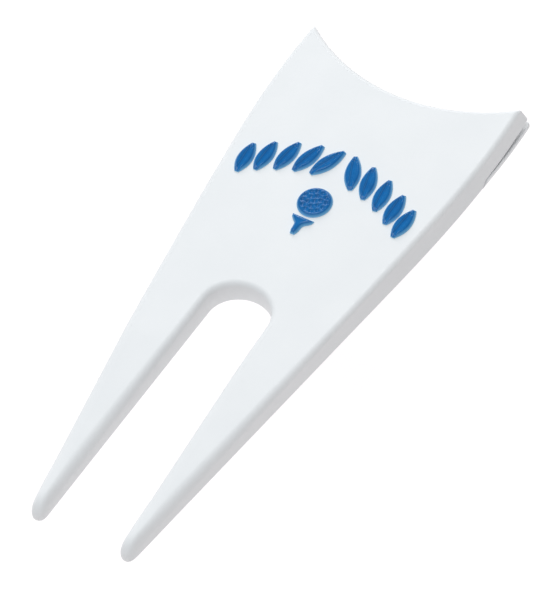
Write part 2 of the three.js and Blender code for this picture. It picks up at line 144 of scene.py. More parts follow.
DISH_FLOOR_Z = LEAF_HIGH.z - CLIP_THICKNESS
DISH_CLEARANCE = 0.4  # around the dish, in the fork
DISH_ROOT = 0.2  # the dish's wall starts this far inside the strip
DISH_FILLET = 0.3  # outside, round its raised floor
DISH_CORNER = ((0.0, 0.15), (0.1, 0.03), (0.25, 0.0))  # inside: distances to its wall and its floor
MOUTH_FLARE = 0.14  # rounding of the mouths of the dish and the notch
NOTCH_RADIUS = 2.6  # fingernail notch at the edge of the dish
NOTCH_OFFSET = 9.55  # from the marker's centre to the notch's
NOTCH_BREAK = 0.04
EDGE_RADIUS = 0.12  # rounded edges of the strip and the marker
MAGNET_CLEARANCE = 0.1
MAGNET_EDGE = 0.14
SEAT_BREAK = 0.12  # rounding of the magnet's seat
RIVET_CLEARANCE = 0.05
RIVET_SHANK_RADIUS = 0.9
COUNTERSINK = 0.65  # depth and width of the cone that a rivet's head lies in
SINK_BREAK = 0.08
BEYOND_X = 30  # cutting tools reach this far
BEYOND_Y = 50
BELOW = 3  # and this far below the back
BEND_START_Y = 5.4  # rows of vertices are cut across the strip between these, where a turning clip would bend it
BEND_END_Y = 6.3


# ---------------------------------------------------------------- plan outlines, in millimetres
def quadratic(a, b, c, count):
    """Points on a quadratic Bezier after its first, count of them."""
    shares = [step / count for step in range(1, count + 1)]
    return [a * (1 - t) ** 2 + b * (2 * t * (1 - t)) + c * t * t for t in shares]


def cubic(a, b, c, d, count):
    """Points on a cubic Bezier after its first, count of them."""
    shares = [step / count for step in range(1, count + 1)]
    return [
        a * (1 - t) ** 3 + b * (3 * t * (1 - t) ** 2) + c * (3 * t * t * (1 - t)) + d * t**3
        for t in shares
    ]


def half_width(y):
    """Half the fork's width at a place along its length, measured at the back."""
    above = max(0.0, y)
    return MID_HALF_WIDTH + TAPER * y + SHOULDER_RISE * above**2 - SHOULDER_PULL * above**3


def slot_half_width(y):
    """Half the slot's width at a place along its length, measured at the back."""
    return SLOT_HALF_WIDTH + SLOT_FLARE * (SLOT_END_Y - y)


def front_fillet(y):
    """Radius of the rounded front edge at a place along the fork."""
    return float(np.interp(y, (-PRONG_FADE, 0), (PRONG_FILLET, FRONT_FILLET)))


def front_height(y):
    """Height of the front face, which falls towards the prong tips."""
    return FRONT_Z - PRONG_SLOPE * max(0.0, PRONG_SLOPE_Y - y)


def edge_height(y):
    """Height of the rounded edge, which is more than its radius at the tips."""
    extra = float(np.interp(y, (TIP_Y, TIP_Y + TIP_FADE), (TIP_HEIGHT - PRONG_FILLET, 0)))
    return front_fillet(y) + extra


class Level:
    """Where an outline of the fork lies: how far in it is moved at a place along the fork, how high
    it is there, and how far round the front edge it is, from 0 to 1."""

    def __init__(self, inset, height, corner, share=0.0):
        self.inset, self.height, self.corner, self.round = inset, height, corner, share


def back_level(inset, height):
    """A level on the back edge, the same all along the fork."""
    return Level(lambda y: inset, lambda y: height, BACK_CORNER)


def front_level(angle):
    """A level on the rounded front edge: 0 is where it starts, and a quarter turn is the front face."""
    share = 1 - math.cos(angle)

    def inset(y):
        lean = float(np.interp(y, (DRAFT_LOW_Y, DRAFT_HIGH_Y), (0, DRAFT)))
        return lean + share * front_fillet(y)

    def height(y):
        return front_height(y) - edge_height(y) * (1 - math.sin(angle))

    return Level(inset, height, CORNER, share)


def end_arc_y(x, inset):
    """Where the concave end is, at a place across the fork."""
    return END_ARC_CENTRE_Y - math.sqrt((END_ARC_RADIUS + inset) ** 2 - x * x)


def top_corner(inset):
    """Where the side meets the concave end, for an outline moved in by inset."""
    y = TOP_Y
    for _ in range(20):
        y = end_arc_y(half_width(y) - inset, inset)
    return Vector((half_width(y) - inset, y))


def wall_inset(y, level):
    """How far a wall is moved in at a level. It is less near the tips, where the prongs are narrow."""
    width = half_width(y) - (slot_half_width(y) if y < SLOT_END_Y else 0)
    return level.inset(y) * min(1.0, INSET_SHARE * width / PRONG_FILLET)


def shoulder_points(level, corner, low_y, side_steps):
    """From the middle of the concave end, round the right corner and down the side to low_y."""
    inset = level.inset(TOP_Y)
    peak = top_corner(inset)
    arc_steps = 44
    arc_end_x = peak.x - corner * CORNER_ARC_SHARE
    points = []
    for step in range(arc_steps + 1):
        x = arc_end_x * step / arc_steps
        points.append(Vector((x, end_arc_y(x, inset))))
    start_y = peak.y - corner
    start = Vector((half_width(start_y) - wall_inset(start_y, level), start_y))
    points += quadratic(points[-1], peak, start, CORNER_STEPS)
    for step in range(1, side_steps + 1):
        y = start_y + (low_y - start_y) * step / side_steps
        points.append(Vector((half_width(y) - wall_inset(y, level), y)))
    return points


def tip_start(level):
    """Where the prong tips end, at a level."""
    return TIP_Y + TIP_INSET_SHARE * level.inset(TIP_Y) + TIP_RUN * level.round


def tip_points(level):
    """The rounded end of the right prong, from its outer side to its inner side."""
    tip_y = tip_start(level)

    def outer(y):
        return Vector((half_width(y) - wall_inset(y, level), y))

    def inner(y):
        return Vector((slot_half_width(y) + wall_inset(y, level), y))

    width = outer(tip_y).x - inner(tip_y).x
    apex = Vector((inner(tip_y).x + TIP_APEX * width, tip_y))
    bend = Vector((TIP_ROUNDNESS * width, 0))
    outer_bend = outer(tip_y + TIP_LENGTH * TIP_OUTER_BEND)
    inner_bend = inner(tip_y + TIP_INNER_LENGTH * TIP_INNER_BEND)
    outside = cubic(outer(tip_y + TIP_LENGTH), outer_bend, apex + bend, apex, 18)
    inside = cubic(apex, apex - bend, inner_bend, inner(tip_y + TIP_INNER_LENGTH), 14)
    return outside + inside


def slot_points(level):
    """From the end of the right prong's rounding to the middle of the slot's round end."""
    start_y = tip_start(level) + TIP_INNER_LENGTH
    inset = level.inset(SLOT_END_Y)
    side_steps = 30
    points = []
    for step in range(1, side_steps):
        y = start_y + (SLOT_END_Y - start_y) * step / side_steps
        points.append(Vector((slot_half_width(y) + wall_inset(y, level), y)))
    arc_steps = 30
    for step in range(arc_steps + 1):
        angle = math.pi / 2 * step / arc_steps
        x = (SLOT_HALF_WIDTH + inset) * math.cos(angle)
        y = SLOT_END_Y + (SLOT_END_DEPTH + inset) * math.sin(angle)
        points.append(Vector((x, y)))
    return points


def mirrored(right):
    """A closed outline, anticlockwise, from its right half listed clockwise from the top middle."""
    left = [Vector((-p.x, p.y)) for p in right if p.x > 1e-6]
    on_axis = [Vector((max(p.x, 0.0), p.y)) for p in reversed(right)]
    return left + on_axis


def fork_outline(level):
    """The fork's whole outline at a level."""
    right = shoulder_points(level, level.corner, tip_start(level) + TIP_LENGTH, 60)
    return mirrored(right + tip_points(level) + slot_points(level))


def tongue_side(y, margin=0.0):
    """A point on the right side of the clip's tongue, moved out by margin."""
    return Vector((half_width(y) - TONGUE_MARGIN + margin, y))


def tongue_end(low_y, margin):
    """The tongue's rounded lower right corner."""
    low = tongue_side(low_y, margin)
    start = tongue_side(low_y + TONGUE_CORNER, margin)
    return [start] + quadratic(start, low, Vector((low.x - TONGUE_CORNER, low.y)), CORNER_STEPS)


def pocket_outline():
    """The pocket that the tongue lies in."""
    high_y = HEAD_BOTTOM_Y + 2
    low_y = FOOT_LOW.y - EDGE_GAP
    side = [tongue_side(high_y + (low_y + 2 - high_y) * step / 24, EDGE_GAP) for step in range(24)]
    return mirrored(side + tongue_end(low_y, EDGE_GAP))


def clip_outline(head_y):
    """The whole strip: a head as wide as the fork down to head_y, and a narrower tongue to the foot."""
    right = shoulder_points(back_level(0, BACK_Z), HEAD_CORNER, head_y + SHOULDER_CORNER, 18)
    corner = Vector((half_width(head_y), head_y))
    right += quadratic(right[-1], corner, corner - Vector((SHOULDER_CORNER, 0)), 6)
    neck = tongue_side(head_y)
    right.append(neck + Vector((NECK_CORNER, 0)))
    high_y = head_y - NECK_CORNER
    right += quadratic(right[-1], neck, tongue_side(high_y), 6)
    low_y = FOOT_LOW.y + TONGUE_CORNER
    for step in range(1, 24):
        right.append(tongue_side(high_y + (low_y - high_y) * step / 24))
    return mirrored(right + tongue_end(FOOT_LOW.y, 0))


def moved_in(outline, distance):
    """A closed anticlockwise outline moved inwards, or outwards for a negative distance."""
    count = len(outline)
    moved = []
    for index, point in enumerate(outline):
        before = (point - outline[index - 1]).normalized()
        after = (outline[(index + 1) % count] - point).normalized()
        normal = Vector((-before.y - after.y, before.x + after.x)).normalized()
        spread = max(0.3, normal.dot(Vector((-before.y, before.x))))
        moved.append(point + normal * (distance / spread))
    return moved


# ---------------------------------------------------------------- meshes, in millimetres
def linked(name, bm):
    """A new object from a bmesh, which is freed."""
    bmesh.ops.recalc_face_normals(bm, faces=bm.faces)
    mesh = bpy.data.meshes.new(name)
    bm.to_mesh(mesh)
    bm.free()
    piece = bpy.data.objects.new(name, mesh)
    bpy.context.scene.collection.objects.link(piece)
    return piece


def circle(bm, radius, z, centre, segments):
    """A ring of vertices about the vertical line through centre."""
    turns = [2 * math.pi * step / segments for step in range(segments)]
    places = [(centre.x + radius * math.cos(a), centre.y + radius * math.sin(a), z) for a in turns]
    return [bm.verts.new(place) for place in places]


def skin(bm, rings):
    """Faces between each ring of vertices and the next."""
    for low, high in zip(rings, rings[1:]):
        for index in range(len(low)):
            after = (index + 1) % len(low)
            bm.faces.new((low[index], low[after], high[after], high[index]))


def stacked(name, rings):
    """A solid from plan outlines at rising heights: rings are (outline, z) pairs, bottom first.
    A z is a number, or a function of the place along the tool."""
    bm = bmesh.new()
    levels = [
        [bm.verts.new((p.x, p.y, z(p.y) if callable(z) else z)) for p in outline]
        for outline, z in rings
    ]
    skin(bm, levels)
    bm.faces.new(reversed(levels[0]))
    bm.faces.new(levels[-1])
    return linked(name, bm)


def crosswise(name, section):
    """A prism right across the tool, of a section along it given as (y, z) pairs."""
    bm = bmesh.new()
    sides = [[bm.verts.new((x, y, z)) for y, z in section] for x in (-BEYOND_X, BEYOND_X)]
    skin(bm, sides)
    for side in sides:
        bm.faces.new(side)
    return linked(name, bm)


def turned(name, profile, centre, segments=144):
    """A solid turned about the vertical line through centre. Its profile starts and ends at radius 0."""
    bm = bmesh.new()
    rings = [circle(bm, radius, z, centre, segments) for radius, z in profile[1:-1]]
    skin(bm, rings)
    for ring, (_, z) in ((rings[0], profile[0]), (rings[-1], profile[-1])):
        middle = bm.verts.new((centre.x, centre.y, z))
        for index in range(segments):
            bm.faces.new((ring[index], ring[(index + 1) % segments], middle))
    return linked(name, bm)


def carve(piece, tool, operation="DIFFERENCE"):
    """Cuts the tool out of the piece, or joins it on, and removes the tool."""
    modifier = piece.modifiers.new("carve", "BOOLEAN")
    modifier.operation = operation
    modifier.solver = "EXACT"
    modifier.object = tool
    graph = bpy.context.evaluated_depsgraph_get()
    made = bpy.data.meshes.new_from_object(piece.evaluated_get(graph))
    piece.modifiers.clear()
    piece.data = made
    bpy.data.objects.remove(tool)


def cut_rows(piece, places):
    """Splits the piece's faces along rows at these places in Y, so that they can bend."""
    bm = bmesh.new()
    bm.from_mesh(piece.data)
    for y in places:
        everything = bm.verts[:] + bm.edges[:] + bm.faces[:]
        bmesh.ops.bisect_plane(bm, geom=everything, plane_co=(0, y, 0), plane_no=(0, 1, 0), dist=1e-5)
    bm.to_mesh(piece.data)
    bm.free()


def settle(piece, material, sharp_angle=38):
    """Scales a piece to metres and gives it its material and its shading."""
    piece.data.transform(Matrix.Scale(MM, 4))
    piece.data.materials.clear()
    piece.data.materials.append(material)
    piece.data.shade_smooth()
    piece.data.set_sharp_from_angle(angle=math.radians(sharp_angle))
    weighted = piece.modifiers.new("weighted", "WEIGHTED_NORMAL")
    weighted.keep_sharp = True
    weighted.weight = 100
    return piece


# ---------------------------------------------------------------- materials
class Shader:
    """A material's node tree, with short names for what this file uses."""

    def __init__(self, name):
        self.material = bpy.data.materials.new(name)
        self.material.use_nodes = True
        self.tree = self.material.node_tree
        self.surface = self.tree.nodes["Principled BSDF"]
        self.place = self.node("ShaderNodeTexCoord").outputs["Object"]

    def node(self, kind, **inputs):
        """A new node, its inputs set by name, with _ for a space."""
        made = self.tree.nodes.new(kind)
        for key, value in inputs.items():
            self.set(made.inputs[key.replace("_", " ")], value)
        return made

    def set(self, socket, value):
        """Links another node's output to a socket, or sets a plain value on it."""
        if isinstance(value, bpy.types.NodeSocket):
            self.tree.links.new(value, socket)
        else:
            socket.default_value = value

    def principled(self, **inputs):
        """Sets the surface shader's own inputs."""
        for key, value in inputs.items():
            self.set(self.surface.inputs[key.replace("_", " ")], value)

    def noise(self, size_mm, detail=3.0, vector=None):
        """Noise with features about size_mm across."""
        made = self.node(
            "ShaderNodeTexNoise", Vector=vector or self.place, Scale=1 / (size_mm * MM), Detail=detail
        )
        return made.outputs["Fac"]

    def ranged(self, value, low, high, start=0.3, end=0.7):
        """A value between start and end, moved to between low and high."""
        made = self.node(
            "ShaderNodeMapRange", Value=value, From_Min=start, From_Max=end, To_Min=low, To_Max=high
        )
        return made.outputs["Result"]

    def mixed(self, share, first, second):
        """A colour between two."""
        made = self.tree.nodes.new("ShaderNodeMix")
        made.data_type = "RGBA"
        self.set(made.inputs[0], share)
        self.set(made.inputs[6], first)
        self.set(made.inputs[7], second)
        return made.outputs[2]

    def bump(self, height, depth_mm, strength=1.0, before=None):
        """A normal bent by a height, on top of the bump before it."""
        made = self.node("ShaderNodeBump", Height=height, Distance=depth_mm * MM, Strength=strength)
        if before is not None:
            self.set(made.inputs["Normal"], before)
        return made.outputs["Normal"]


def white_coat():
    """Satin white paint baked on metal: fine orange peel, a slow drift in tone and faint specks."""
    s = Shader("white_coat")
    drift = s.ranged(s.noise(6.0, 2.0), 0.0, 1.0)
    speck = s.ranged(s.noise(0.12, 2.0), 0.0, 0.25, 0.62, 0.75)
    tone = s.mixed(drift, (0.752, 0.766, 0.776, 1), (0.772, 0.784, 0.792, 1))
    tone = s.mixed(speck, tone, (0.71, 0.725, 0.74, 1))
    peel = s.noise(0.55, 2.5)
    grain = s.noise(0.09, 2.0)
    normal = s.bump(peel, 0.02, 0.35)
    normal = s.bump(grain, 0.003, 0.3, normal)
    s.principled(
        Base_Color=tone, Roughness=s.ranged(peel, 0.48, 0.58), Normal=normal, Specular_IOR_Level=0.4
    )
    return s.material


def blue_enamel():
    """Glossy hard enamel: deep blue, pooled darker in places, and paler on its steep rims, where a
    highlight is painted in.
    """
    s = Shader("blue_enamel")
    pool = s.ranged(s.noise(1.6, 2.0), 0.0, 1.0)
    facing_up = s.node("ShaderNodeSeparateXYZ", Vector=s.node("ShaderNodeNewGeometry").outputs["Normal"])
    flatness = s.node("ShaderNodeMath")
    flatness.operation = "ABSOLUTE"
    s.set(flatness.inputs[0], facing_up.outputs["Z"])
    # painted highlight: the steeper a face of the enamel is, by its normal, the more it is mixed towards
    # pale blue
    painted_rim_highlight = s.ranged(flatness.outputs["Value"], 1.0, 0.0, 0.45, 0.8)
    tone = s.mixed(pool, (0.0, 0.105, 0.33, 1), (0.0, 0.13, 0.385, 1))
    tone = s.mixed(painted_rim_highlight, tone, (0.2, 0.5, 0.78, 1))
    ripple = s.noise(0.5, 1.5)
    s.principled(
        Base_Color=tone,
        Roughness=s.ranged(s.noise(0.25, 3.0), 0.14, 0.24),
        Normal=s.bump(ripple, 0.012, 0.15),
        Specular_IOR_Level=0.15,
        Coat_Weight=0.35,
        Coat_Roughness=0.05,
    )
    return s.material


def turned_steel(name, centre):
    """Stainless steel with the fine rings that turning and polishing leave round a centre."""
    s = Shader(name)
    offset = s.node("ShaderNodeVectorMath")
    offset.operation = "SUBTRACT"
    s.set(offset.inputs[0], s.place)
    s.set(offset.inputs[1], centre * MM)
    length = s.node("ShaderNodeVectorMath")
    length.operation = "LENGTH"
    s.set(length.inputs[0], offset.outputs["Vector"])
    rings = s.noise(0.07, 2.0, length.outputs["Value"])
    smear = s.noise(1.4, 2.0)
    tone = s.mixed(s.ranged(rings, 0.0, 1.0), (0.50, 0.51, 0.525, 1), (0.63, 0.635, 0.645, 1))
    s.principled(
        Base_Color=tone,
        Metallic=1.0,
        Roughness=s.ranged(smear, 0.22, 0.34),
        Normal=s.bump(rings, 0.004, 0.35),
    )
    return s.material


def bright_nickel():
    """Nickel plate on the magnet, with slight stains and the speckle of the sintered body."""
    s = Shader("magnet_nickel")
    stain = s.ranged(s.noise(1.8, 4.0), 0.0, 1.0)
    tone = s.mixed(stain, (0.62, 0.60, 0.56, 1), (0.72, 0.70, 0.665, 1))
    s.principled(
        Base_Color=tone,
        Metallic=1.0,
        Roughness=s.ranged(s.noise(0.3, 3.0), 0.14, 0.26),
        Normal=s.bump(s.noise(0.2, 3.0), 0.004, 0.4),
    )
    return s.material


# ---------------------------------------------------------------- fork
def fork_levels():
    """The fork's levels, from its back edge round its front edge."""
    levels = []
    for step in range(4):
        angle = math.pi / 2 * step / 3
        inset = BACK_BREAK * (1 - math.sin(angle))
        levels.append(back_level(inset, BACK_Z + BACK_BREAK * (1 - math.cos(angle))))
    steps = 12
    return levels + [front_level(math.pi / 2 * step / steps) for step in range(steps + 1)]


def make_fork(material):
    """The casting, with the clip's pocket, the magnet's seat and the rivets' holes in its back."""
    fork = stacked("fork_casting", [(fork_outline(level), level.height) for level in fork_levels()])
    cut_rows(fork, range(math.ceil(TIP_Y) + 2, PRONG_SLOPE_Y + 2))
    below = BACK_Z - BELOW
    pocket = pocket_outline()
    wider = moved_in(pocket, -POCKET_BREAK)
    carve(fork, stacked("tool", [
        (wider, below), (wider, BACK_Z), (pocket, BACK_Z + POCKET_BREAK), (pocket, POCKET_Z),
    ]))
    wall_y = HEAD_BOTTOM_Y - HEAD_GAP
    carve(fork, crosswise("tool", [
        (wall_y - HEAD_BEVEL, below), (BEYOND_Y, below), (BEYOND_Y, POCKET_Z),
        (wall_y + HEAD_BEVEL, POCKET_Z), (wall_y - HEAD_BEVEL, BACK_Z),
    ]))
    dish = DISH_OUTER_RADIUS + DISH_CLEARANCE
    carve(fork, turned("tool", [
        (0, below), (dish, below), (dish, MAGNET_LOW.z - DISH_FILLET),
        (dish - DISH_FILLET, MAGNET_LOW.z), (0, MAGNET_LOW.z),
    ], MARKER))
    seat = (MAGNET_HIGH.x - MAGNET_LOW.x) / 2 + MAGNET_CLEARANCE
    mouth, ceiling = seat + SEAT_BREAK, MAGNET_HIGH.z + MAGNET_CLEARANCE / 2
    carve(fork, turned("tool", [
        (0, below), (mouth, below), (mouth, MAGNET_LOW.z), (seat, MAGNET_LOW.z + SEAT_BREAK),
        (seat, ceiling), (0, ceiling),
    ], MARKER, 96))
    for name in ("rivet_left", "rivet_right"):
        hole = RIVET_SHANK_RADIUS + RIVET_CLEARANCE
        top = box_mm(name)[1].z + RIVET_CLEARANCE
        drill = [(0, below), (hole, below), (hole, top), (0, top)]
        carve(fork, turned("tool", drill, middle_mm(name), 48))
    settle(fork, material)
    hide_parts("fork_body")
    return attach(fork, "fork")


# ---------------------------------------------------------------- clip
def lip_drop(y):
    """How far the strip has bent away from the fork at a place along its length."""
    run = max(0.0, y - LIP_START_Y)
    bent = min(run, LIP_BEND)
    return LIP_SLOPE * (bent**2 / (2 * LIP_BEND) + run - bent)


def strip_rings():
    """Outlines of the flat strip from its outer to its inner face, with rounded edges."""
    low, high = FOOT_LOW.z, FOOT_HIGH.z
    edge = []
    steps = 4
    for step in range(steps + 1):
        angle = math.pi / 2 * step / steps
        edge.append((EDGE_RADIUS * (1 - math.sin(angle)), EDGE_RADIUS * (1 - math.cos(angle))))
    levels = [(inset, low + rise) for inset, rise in edge]
    levels += [(inset, high - rise) for inset, rise in reversed(edge)]
    rings = []
    for inset, z in levels:
        head_y = HEAD_BOTTOM_Y + HEAD_BEVEL * (2 * (z - low) / (high - low) - 1)
        rings.append((moved_in(clip_outline(head_y), inset), z))
    return rings


def dish_cup():
    """The outside of the dish, which stands up from the strip."""
    root, top, fillet = FOOT_LOW.z + DISH_ROOT, LEAF_HIGH.z, DISH_FILLET
    turns = [math.pi / 12 * step for step in range(7)]
    shoulder = [
        (DISH_OUTER_RADIUS - fillet * (1 - math.cos(a)), top - fillet * (1 - math.sin(a))) for a in turns
    ]
    return turned("tool", [(0, root), (DISH_OUTER_RADIUS, root), *shoulder, (0, top)], MARKER)


def dish_hollow():
    """The inside of the dish, with a flared mouth and a rounded corner round its floor."""
    low, flare = FOOT_LOW.z, MOUTH_FLARE
    turns = [math.pi / 8 * step for step in range(5)]
    mouth = [(DISH_RADIUS + flare * (1 - math.sin(a)), low + flare * (1 - math.cos(a))) for a in turns]
    corner = [(DISH_RADIUS - inwards, DISH_FLOOR_Z - down) for inwards, down in DISH_CORNER]
    below = [(0, low - 1), (DISH_RADIUS + flare, low - 1)]
    return turned("tool", [*below, *mouth, *corner, (0, DISH_FLOOR_Z)], MARKER)


def notch_tool():
    """The fingernail notch, right through the strip at the edge of the dish."""
    low, high, top = FOOT_LOW.z, FOOT_HIGH.z, LEAF_HIGH.z + 1
    radius, flare = NOTCH_RADIUS, MOUTH_FLARE
    return turned("tool", [
        (0, low - 1), (radius + flare, low - 1), (radius + flare, low),
        (radius + NOTCH_BREAK, low + NOTCH_BREAK), (radius, low + flare), (radius, high - flare),
        (radius, top), (0, top),
    ], MARKER + Vector((0, NOTCH_OFFSET, 0)), 96)


def sink_tool(name):
    """The countersunk hole for a rivet, right through the strip."""
    low, top = FOOT_LOW.z, FOOT_HIGH.z + 1
    head = (box_mm(name)[1].x - box_mm(name)[0].x) / 2 + RIVET_CLEARANCE
    cone_z = box_mm(name)[0].z + RIVET_CLEARANCE
    mouth, hole = head + SINK_BREAK, head - COUNTERSINK
    return turned("tool", [
        (0, low - 1), (mouth, low - 1), (mouth, low), (head, low + SINK_BREAK), (head, cone_z),
        (hole, cone_z + COUNTERSINK), (hole, top), (0, top),
    ], middle_mm(name), 64)


def make_clip(material):
    """One sprung strip: riveted foot, tongue with a drawn dish, and a head whose lip flares."""
    clip = stacked("clip_strip", strip_rings())
    carve(clip, dish_cup(), "UNION")
    carve(clip, dish_hollow())
    carve(clip, notch_tool())
    for name in ("rivet_left", "rivet_right"):
        carve(clip, sink_tool(name))
    bend_rows = [BEND_START_Y + (BEND_END_Y - BEND_START_Y) * step / 8 for step in range(9)]
    lip_rows = [LIP_START_Y + LIP_BEND * step / 8 for step in range(9)]
    cut_rows(clip, bend_rows + lip_rows + LIP_ROWS)
    for vertex in clip.data.vertices:
        vertex.co.z -= lip_drop(vertex.co.y)
    settle(clip, material)
    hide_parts("clip_foot", "clip_leaf")
    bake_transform(clip)
    return clip


RIVET_CROWN = 0.03  # how far the head is crowned
RIVET_DIMPLE = ((0, 0.09), (0.25, 0.06), (0.38, 0.01), (0.46, 0))  # radii and depths of its dimple
RIVET_DOME = (0.7, 0.008)  # a point between them: share of the head's radius, fall from the crown
RIVET_FLANK = 0.1  # the crown ends this far from the head's side
RIVET_EDGE = 0.07  # and the side starts this far above the crown's end
RIVET_BREAK = 0.12  # bevel of its far end


def make_rivet(name, material):
    """A countersunk rivet with a slightly crowned head and the dimple that its set left."""
    low, high = box_mm(name)
    head, shank = (high.x - low.x) / 2, RIVET_SHANK_RADIUS
    crown = low.z - RIVET_CROWN
    dimple = [(radius, crown + depth) for radius, depth in RIVET_DIMPLE]
    share, fall = RIVET_DOME
    rivet = turned(name + "_turned", [
        *dimple, (head * share, crown + fall), (head - RIVET_FLANK, low.z), (head, low.z + RIVET_EDGE),
        (shank, low.z + head - shank), (shank, high.z - RIVET_BREAK), (shank - RIVET_BREAK, high.z),
        (0, high.z),
    ], middle_mm(name), 64)
    settle(rivet, material)
    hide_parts(name)
    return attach(rivet, "fork")


ROUND_SHARE = 0.3  # the middle of a rounded edge lies this share of its radius from both faces


def rounded_edge(radius, z, edge, upwards):
    """Three points round an edge, from the face at height z outwards to the side."""
    rise = edge if upwards else -edge
    return [
        (radius - edge, z), (radius - edge * ROUND_SHARE, z + rise * ROUND_SHARE), (radius, z + rise)
    ]


def make_magnet(material):
    """A plated disc with rounded edges."""
    radius = (MAGNET_HIGH.x - MAGNET_LOW.x) / 2
    low, high = MAGNET_LOW.z, MAGNET_HIGH.z
    lower = rounded_edge(radius, low, MAGNET_EDGE, True)
    upper = rounded_edge(radius, high, MAGNET_EDGE, False)
    magnet = turned("magnet_disc", [(0, low), *lower, *reversed(upper), (0, high)], MARKER)
    settle(magnet, material)
    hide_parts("magnet")
    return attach(magnet, "fork")


# ---------------------------------------------------------------- ball marker
RING_INNER = 4.55  # the raised ring round the middle of the marker, between two fields of enamel
RING_OUTER = 5.0
RING_BREAK = 0.05  # bevels of the ring and of the rim below
RING_DROP = 0.01  # how far the ring stands back behind the rim
RIM_BREAK = 0.07
ENAMEL_GAP = 0.03  # between the enamel and the steel


def make_marker(material):
    """A steel disc with a raised rim and ring, which keep the enamel in."""
    rim = (INLAY_HIGH.x - INLAY_LOW.x) / 2 + ENAMEL_GAP
    low, high = MARKER_LOW.z, MARKER_HIGH.z
    floor = INLAY_HIGH.z + ENAMEL_GAP
    edge, ring_z = EDGE_RADIUS, low + RING_DROP
    marker = turned("marker_disc", [
        (0, floor), (RING_INNER, floor), (RING_INNER, low + RING_BREAK),
        (RING_INNER + RING_BREAK, ring_z), (RING_OUTER - RING_BREAK, ring_z),
        (RING_OUTER, low + RING_BREAK), (RING_OUTER, floor), (rim, floor), (rim, low + RIM_BREAK),
        (rim + RIM_BREAK, low), *rounded_edge(MARKER_RADIUS, low, edge, True),
        (MARKER_RADIUS, high - edge), (MARKER_RADIUS - edge, high), (0, high),
    ], MARKER, 180)
    settle(marker, material)
    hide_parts("ball_marker")
    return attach(marker, "marker")


ENAMEL_CROWN = 0.02  # how far a field of enamel bulges in its middle
INNER_FIELD = ((0.35, 0.01), (0.1, 0.05), (0, 0.1))  # distances to its edge, and how far it sinks there
OUTER_FIELD = ((0.35, 0), (0.1, 0.05), (0, 0.1))


def make_inlay(material):
    """Two fields of enamel, each a little crowned, inside the marker's ring and round it."""
    outer = (INLAY_HIGH.x - INLAY_LOW.x) / 2
    face, floor = INLAY_LOW.z, INLAY_HIGH.z
    middle = RING_INNER - ENAMEL_GAP
    sunk = [(middle - distance, face + depth) for distance, depth in INNER_FIELD]
    inlay = turned("marker_enamel", [
        (0, face - 1.5 * ENAMEL_CROWN), (0.6 * middle, face - ENAMEL_CROWN), *sunk,
        (middle, floor), (0, floor),
    ], MARKER, 128)
    bm = bmesh.new()
    bm.from_mesh(inlay.data)
    inner = RING_OUTER + ENAMEL_GAP
    rising = [(inner + distance, face + depth) for distance, depth in reversed(OUTER_FIELD)]
    falling = [(outer - distance, face + depth) for distance, depth in OUTER_FIELD]
    crown = ((inner + outer) / 2, face - ENAMEL_CROWN)
    profile = [(inner, floor), *rising, crown, *falling, (outer, floor)]
    rings = [circle(bm, radius, z, MARKER, 180) for radius, z in profile]
    skin(bm, rings + rings[:1])
    bmesh.ops.recalc_face_normals(bm, faces=bm.faces)
    bm.to_mesh(inlay.data)
    bm.free()
    settle(inlay, material)
    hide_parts("marker_inlay")
    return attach(inlay, "marker")


# ---------------------------------------------------------------- emblem
BALL = Vector((0.0, 14.1))
BALL_RADIUS = 2.2
DIMPLE_RINGS = ((0.0, 1), (0.8, 6), (1.48, 12))  # radius of each ring, and how many are in it
TEE_TOP_Y = 11.6
TEE_LENGTH = 2.7
ARCH_TOP_Y = 20.0  # the leaves' middles lie on the arch y = top - fall * x^2
ARCH_FALL = 0.03
LEAF_PLACES = (1.8, 4.3, 6.8, 9.2, 11.3)  # x of each leaf of the right half of the arch
LEAF_LEAN = 30  # degrees from the arch's normal, towards its top
LEAF_LENGTH = 5.2  # at the top of the arch
LEAF_SHRINK = 0.05  # loss of length per millimetre from the centreline
LEAF_BULGE = 1.8  # how far the curves that bound a leaf are pulled from its middle
LEAF_BELLY = -0.2  # where along the leaf, from its middle
LEAF_END = 0.25  # half the width of its blunt ends
DIMPLE_DEPTH = 0.2
DIMPLE_RADIUS = 0.33
GROOVE_DEPTH = 0.2
GROOVE_HALF_WIDTH = 0.3
GROOVE_START = 0.3  # from the leaf's lower end
GROOVE_END = 0.9  # from its upper end
GRID = 0.09  # spacing of the points that the enamel's surface is made of
ROW_SHARE = 0.866  # its rows are this share of that apart, for even triangles
GRID_MARGIN = 0.11  # the points keep this far inside the outline
RING_INSET = 0.045  # a ring of points follows the outline this far in
RING_MARGIN = 0.035  # but no nearer to it than this
WALL = 0.1  # height of the enamel's upright edge
SHOULDER = 0.46  # width of its rounded shoulder
RELIEF_FADE = 0.2  # the relief is shallower within this distance of the edge


def finely(outline, spacing=0.1):
    """The outline with points added, so that no side is longer than spacing."""
    points = []
    for index, point in enumerate(outline):
        after = outline[(index + 1) % len(outline)]
        count = max(1, math.ceil((after - point).length / spacing))
        points += [point.lerp(after, step / count) for step in range(count)]
    return points


def to_outline(points, outline):
    """Distance of each point to the outline, and whether it is inside."""
    start = np.array([p[:] for p in outline])
    end = np.roll(start, -1, axis=0)
    along = end - start
    nearest = np.full(len(points), 1e9)
    inside = np.zeros(len(points), bool)
    for a, b, d in zip(start, end, along):
        share = np.clip(((points - a) @ d) / (d @ d), 0, 1)
        gap = points - (a + share[:, None] * d)
        nearest = np.minimum(nearest, np.hypot(gap[:, 0], gap[:, 1]))
        crosses = (a[1] > points[:, 1]) != (b[1] > points[:, 1])
        if a[1] != b[1]:
            x = a[0] + (points[:, 1] - a[1]) * (b[0] - a[0]) / (b[1] - a[1])
            inside ^= crosses & (points[:, 0] < x)
    return nearest, inside


